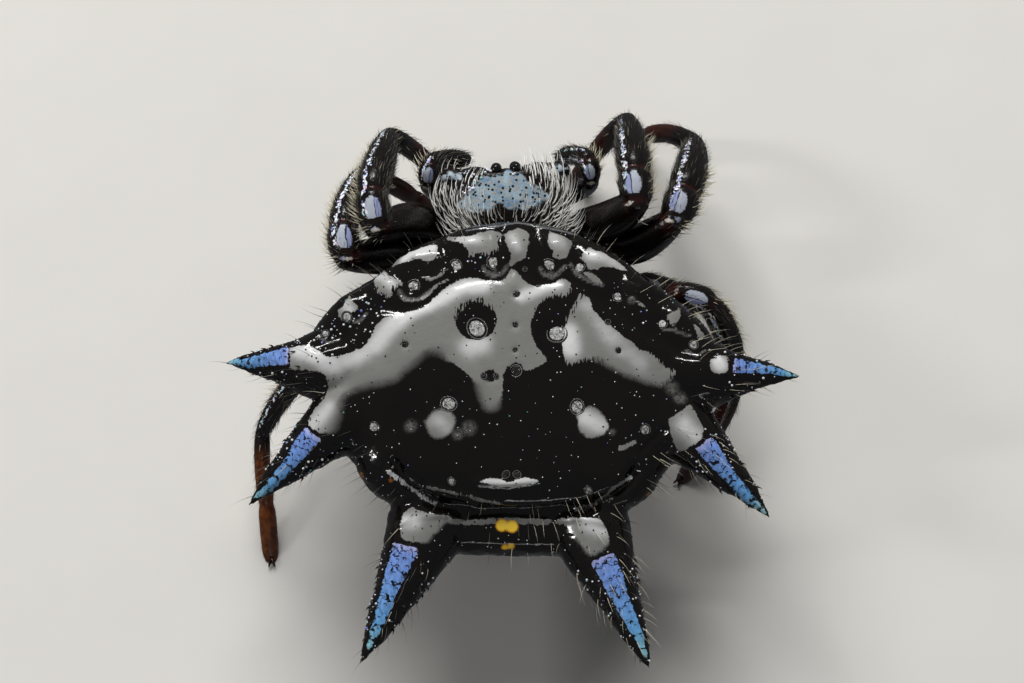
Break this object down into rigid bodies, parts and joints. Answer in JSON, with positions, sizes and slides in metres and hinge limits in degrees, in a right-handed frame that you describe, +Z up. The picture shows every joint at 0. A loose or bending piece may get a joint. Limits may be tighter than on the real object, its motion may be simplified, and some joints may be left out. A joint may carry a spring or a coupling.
{
  "type": "christmas jewel spider",
  "caption": "Life-size model of a female christmas jewel spider: a wide, hard, spined abdomen over a small head and thorax, standing with its front legs drawn up.",
  "frame": {"origin": "on the floor, under the middle of the model's box", "axes": "+Y towards the spider's head, +X to its right side, +Z up"},
  "size_m": [0.0144, 0.0158, 0.0057],
  "materials": {
    "shell": "hard glossy black cuticle with grey-white markings and blue spines",
    "underside": "glossy dark brown cuticle with yellow-white spots",
    "carapace": "blue-grey sheen over black cuticle, with cream hairs",
    "eyes": "polished clear lens over black",
    "jaws": "glossy black-brown cuticle",
    "legs": "black cuticle with pale patches and short hairs",
    "feet": "red-brown cuticle with short hairs"
  },
  "bodies": {
    "root": {"abdomen_belly": "underside", "abdomen_shell": "shell", "carapace": "carapace", "chelicera_left": "jaws", "chelicera_right": "jaws", "eye_lateral_front_left": "eyes", "eye_lateral_front_right": "eyes", "eye_lateral_rear_left": "eyes", "eye_lateral_rear_right": "eyes", "eye_median_front_left": "eyes", "eye_median_front_right": "eyes", "eye_median_rear_left": "eyes", "eye_median_rear_right": "eyes", "fang_left": "jaws", "fang_right": "jaws", "leg1_left_femur": "legs", "leg1_left_foot": "feet", "leg1_left_tibia": "legs", "leg1_right_femur": "legs", "leg1_right_foot": "feet", "leg1_right_tibia": "legs", "leg2_left_femur": "legs", "leg2_left_foot": "feet", "leg2_left_tibia": "legs", "leg2_right_femur": "legs", "leg2_right_foot": "feet", "leg2_right_tibia": "legs", "leg3_left_femur": "legs", "leg3_left_foot": "feet", "leg3_left_tibia": "legs", "leg3_right_femur": "legs", "leg3_right_foot": "feet", "leg3_right_tibia": "legs", "leg4_left_femur": "legs", "leg4_left_foot": "feet", "leg4_left_tibia": "legs", "leg4_right_femur": "legs", "leg4_right_foot": "feet", "leg4_right_tibia": "legs", "palp_left_femur": "legs", "palp_left_tip": "legs", "palp_right_femur": "legs", "palp_right_tip": "legs", "pedicel": "underside", "spinnerets": "underside", "sternum": "underside"}
  },
  "joints": []
}
